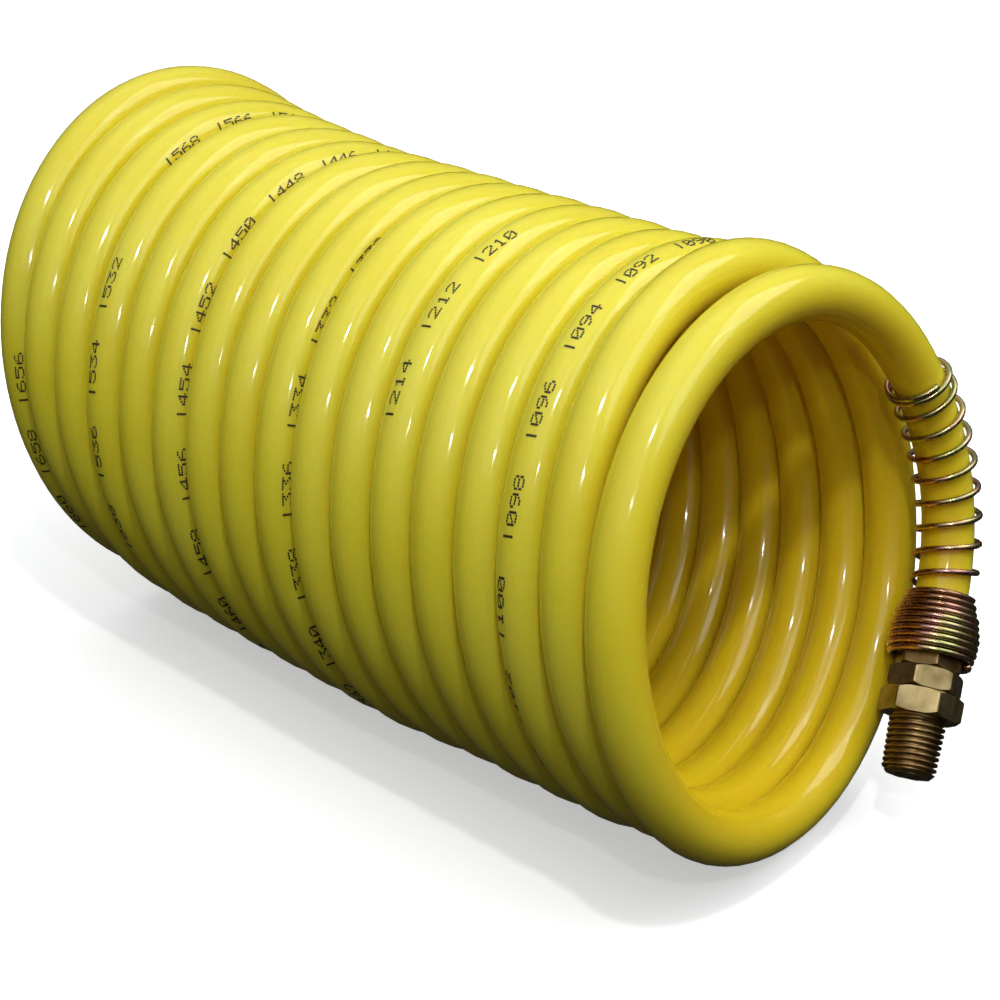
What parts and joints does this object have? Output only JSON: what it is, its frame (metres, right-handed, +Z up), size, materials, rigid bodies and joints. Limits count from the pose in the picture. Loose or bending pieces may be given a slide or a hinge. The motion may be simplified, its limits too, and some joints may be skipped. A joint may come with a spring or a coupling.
{
  "type": "recoil air hose",
  "caption": "Self-coiling nylon air hose lying on its side, with spring guards and swivelling brass male pipe fittings at both ends.",
  "frame": {"origin": "centre of the bounding box's bottom face, on the bench the coil lies on", "axes": "+Z up; +Y along the coil, from the end with the front fitting towards the far end; +X towards the side where the rear fitting points"},
  "size_m": [0.1884, 0.2574, 0.1395],
  "materials": {
    "nylon": "glossy, slightly translucent yellow nylon",
    "brass": "machined, lightly tarnished",
    "plated_wire": "spring wire with iridescent yellow zinc plating",
    "washer": "matt, off-white",
    "seal": "matt black"
  },
  "bodies": {
    "front_end": {"hose_coil": "nylon", "front_hose_tail": "nylon", "front_spring_guard": "plated_wire", "front_hose_socket": "brass", "front_hose_insert": "brass", "front_swivel_body": "brass", "front_thrust_washer": "washer", "front_swivel_seal": "seal"},
    "front_nipple": {"front_npt_nipple": "brass"},
    "rear_end": {"rear_hose_tail": "nylon", "rear_spring_guard": "plated_wire", "rear_hose_socket": "brass", "rear_hose_insert": "brass", "rear_swivel_body": "brass", "rear_thrust_washer": "washer", "rear_swivel_seal": "seal"},
    "rear_nipple": {"rear_npt_nipple": "brass"}
  },
  "joints": [
    {"name": "coil_stretch", "type": "slide", "parent": "front_end", "child": "rear_end", "axis": [0, 1, 0], "range_m": [0, 1.5], "stiffness_N_per_m": 6, "deforming": ["hose_coil"]},
    {"name": "front_swivel", "type": "hinge", "parent": "front_end", "child": "front_nipple", "pos_m": [0.02657, -0.11075, 0.04954], "axis": [-0.5919, -0.2751, -0.7576], "continuous": true},
    {"name": "rear_swivel", "type": "hinge", "parent": "rear_end", "child": "rear_nipple", "pos_m": [0.0497, 0.11087, 0.01119], "axis": [0.9925, 0.1221, 0], "continuous": true}
  ]
}
